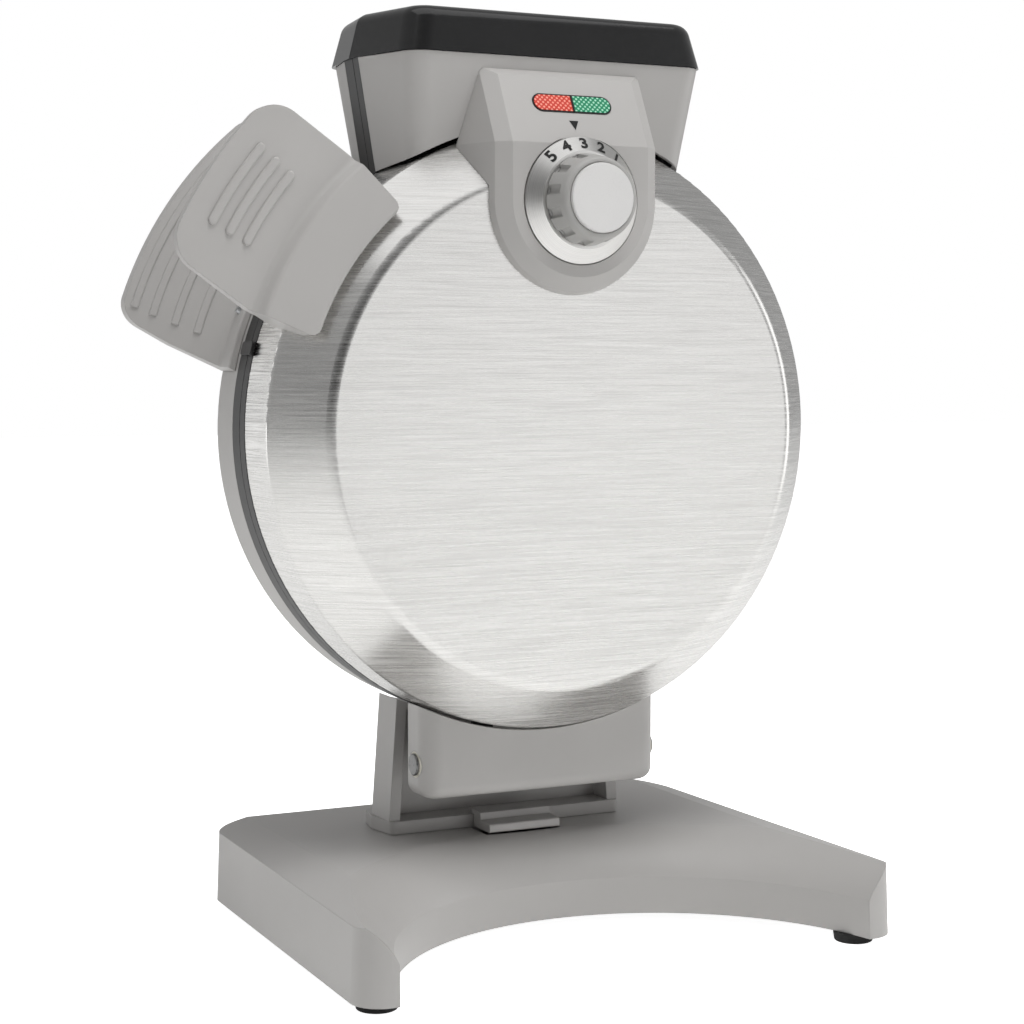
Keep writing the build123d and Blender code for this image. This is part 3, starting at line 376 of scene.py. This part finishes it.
# A thin dark gasket round the lamp window: a small circle carried along a stadium drawn on the leaning face.
# With p running once round, the path is two straights joined by half circles, and the circle's plane holds
# the path's outward direction and the face's normal.
gasket = {"half": 19.2 * mm, "halfHeight": 4.2 * mm, "up": 20.4 * mm, "thick": 0.42 * mm,
          "steps": 160, "round": 10}


def stadiumRing(half, halfHeight, steps):
    straight = 2 * (half - halfHeight)
    bend = math.pi * halfHeight
    total = 2 * (straight + bend)
    travel = np.arange(steps) / steps * total
    inTop, inRight = travel < straight, (travel >= straight) & (travel < straight + bend)
    inLow = (travel >= straight + bend) & (travel < 2 * straight + bend)
    angle = np.select([inTop, inRight, inLow], [
        np.zeros(steps), (travel - straight) / halfHeight, np.full(steps, math.pi)],
        math.pi + (travel - 2 * straight - bend) / halfHeight)
    across = np.select([inTop, inRight, inLow], [
        travel - straight / 2, np.full(steps, straight / 2),
        straight / 2 - (travel - straight - bend)], -straight / 2)
    out = np.column_stack([np.sin(angle), np.cos(angle)])
    return np.column_stack([across, np.zeros(steps)]) + out * halfHeight, out


ringLine, ringOut = stadiumRing(gasket["half"], gasket["halfHeight"], gasket["steps"])
lean = math.hypot(1, pointer["lean"])
upFace, faceNormal = np.array([0, pointer["lean"], 1]) / lean, np.array([0, -1, pointer["lean"]]) / lean
windowCentre = np.array([0, pointer["kneeY"], pointer["kneeZ"]]) + upFace * gasket["up"]
turn = np.arange(gasket["round"]) / gasket["round"] * 2 * math.pi
lineSpace = ringLine[:, :1] * np.array([1, 0, 0]) + ringLine[:, 1:] * upFace
outSpace = ringOut[:, :1] * np.array([1, 0, 0]) + ringOut[:, 1:] * upFace
points = windowCentre + lineSpace[:, None] + gasket["thick"] * (
    np.cos(turn)[None, :, None] * outSpace[:, None] + np.sin(turn)[None, :, None] * faceNormal)
ring = bpy.data.meshes.new("lampGasket")
ringFaces = gridFaces(gasket["steps"], gasket["round"], True, True)
ring.from_pydata(points.reshape(-1, 3).tolist(), [], ringFaces.tolist())
ring.polygons.foreach_set("use_smooth", np.ones(len(ring.polygons), bool))
ring.update()
placeMesh("lampGasket", ring, Matrix.Identity(4), materialOf["black_plastic"], "door")

# A dark bar between the two lenses: a half circle carried straight up the leaning face.
divider = {"half": 0.5 * mm, "lift": 0.5 * mm, "reach": 4.1 * mm, "rows": 9, "columns": 13}
around = np.linspace(-math.pi / 2, math.pi / 2, divider["columns"])
along = np.linspace(-1, 1, divider["rows"])[:, None, None]
barLine = windowCentre + divider["lift"] * faceNormal + along * divider["reach"] * upFace
barPoints = barLine + divider["half"] * (
    np.sin(around)[None, :, None] * np.array([1, 0, 0]) + np.cos(around)[None, :, None] * faceNormal)
bar = bpy.data.meshes.new("lensDivider")
barFaces = gridFaces(divider["rows"], divider["columns"], False, False)
bar.from_pydata(barPoints.reshape(-1, 3).tolist(), [], barFaces.tolist())
bar.polygons.foreach_set("use_smooth", np.ones(len(bar.polygons), bool))
placeMesh("lensDivider", bar, Matrix.Identity(4), materialOf["black_plastic"], "door")
print("dial marks placed")

# The paper and the air look white to the camera but light the object less than that. The air is darker in one
# fixed direction of the room, as a black flag would make it, so that the steel has something dark to mirror.
studio = {"floor": "#F6F6F5", "floorGlow": 0.25, "seenGlow": 0.95, "air": "#FFFFFF", "airStrength": 0.36,
          "flag": (-0.38, -0.92, -0.04), "flagStrength": 0.05, "backdropStrength": 1.0,
          "reach": 6, "flagFrom": 0.6, "flagTo": 0.95}
floorMesh = bpy.data.meshes.new("floor")
floorMesh.from_pydata([
    (-studio["reach"], -studio["reach"], 0), (studio["reach"], -studio["reach"], 0),
    (studio["reach"], studio["reach"], 0), (-studio["reach"], studio["reach"], 0)], [], [(0, 1, 2, 3)])
floor = bpy.data.objects.new("floor", floorMesh)
bpy.context.scene.collection.objects.link(floor)
floorPaint, tree, shader, place = startMaterial("palePaper", studio["floor"], Roughness=0.8)
shader.inputs["Emission Color"].default_value = linearColour("#FFFFFF")
shader.inputs["Emission Strength"].default_value = studio["floorGlow"]
looked = addNode(tree, "ShaderNodeLightPath", {}, {}).outputs["Is Camera Ray"]
glow = spread(tree, looked, studio["floorGlow"], studio["seenGlow"], 0, 1)
tree.links.new(glow, shader.inputs["Emission Strength"])
floorMesh.materials.append(floorPaint)

world = bpy.data.worlds.new("studioAir")
world.use_nodes = True
bpy.context.scene.world = world
tree = world.node_tree
air = tree.nodes["Background"]
air.inputs["Color"].default_value = linearColour(studio["air"])
facing = addNode(tree, "ShaderNodeVectorMath", {"operation": "DOT_PRODUCT"}, {
    0: addNode(tree, "ShaderNodeTexCoord", {}, {}).outputs["Generated"], 1: studio["flag"]}).outputs["Value"]
airLevel = spread(tree, facing, studio["airStrength"], studio["flagStrength"],
                  studio["flagFrom"], studio["flagTo"])
tree.links.new(airLevel, air.inputs["Strength"])
backdrop = addNode(tree, "ShaderNodeBackground", {}, {
    "Color": linearColour(studio["air"]), "Strength": studio["backdropStrength"]})
seen = addNode(tree, "ShaderNodeLightPath", {}, {}).outputs["Is Camera Ray"]
both = addNode(tree, "ShaderNodeMixShader", {}, {0: seen, 1: air.outputs[0], 2: backdrop.outputs[0]})
tree.links.new(both.outputs[0], tree.nodes["World Output"].inputs["Surface"])


def softBox(name, place, aim, width, height, power):
    data = bpy.data.lights.new(name, "AREA")
    data.shape, data.size, data.size_y, data.energy = "RECTANGLE", width, height, power
    lamp = bpy.data.objects.new(name, data)
    bpy.context.scene.collection.objects.link(lamp)
    lamp.location = place
    lamp.rotation_mode = "QUATERNION"
    lamp.rotation_quaternion = (Vector(aim) - Vector(place)).to_track_quat("-Z", "Y")
    return lamp


middle = (0, 0.02, 0.22)
softBoxes = {  # place, width, height, power
    "softBoxTop": ((0.1, -0.5, 1.6), 0.9, 0.7, 12.5),
    "softBoxSheen": ((-0.1, -0.35, 1.7), 1.8, 1.3, 5),
    "softBoxFront": ((0.95, -1.9, 0.62), 1.3, 1.3, 3.3),
    "softBoxRight": ((1.7, -0.35, 0.3), 0.9, 1.2, 4),
    "softBoxLeftBack": ((-1.2, 1.3, 0.5), 0.6, 1.0, 3),
}
lamps = {name: softBox(name, place, middle, *size) for name, (place, *size) in softBoxes.items()}
lamps["softBoxTop"].visible_glossy = False  # the sheen box is what the steel mirrors from above

view = {"place": (-0.4476, -0.8699, 0.2646), "heading": 26.21, "dip": 4.15, "lens": 75.85, "sensor": 36}
cameraData = bpy.data.cameras.new("camera")
cameraData.sensor_width = view["sensor"]
cameraData.lens = view["lens"]
cameraData.clip_start, cameraData.clip_end = 0.01, 50
camera = bpy.data.objects.new("camera", cameraData)
bpy.context.scene.collection.objects.link(camera)
camera.location = view["place"]
heading, dip = math.radians(view["heading"]), math.radians(view["dip"])
look = Vector((math.sin(heading) * math.cos(dip), math.cos(heading) * math.cos(dip), -math.sin(dip)))
camera.rotation_mode = "QUATERNION"
camera.rotation_quaternion = look.to_track_quat("-Z", "Y")
bpy.context.scene.camera = camera
bpy.context.scene.view_settings.view_transform = "Standard"
print("studio ready")
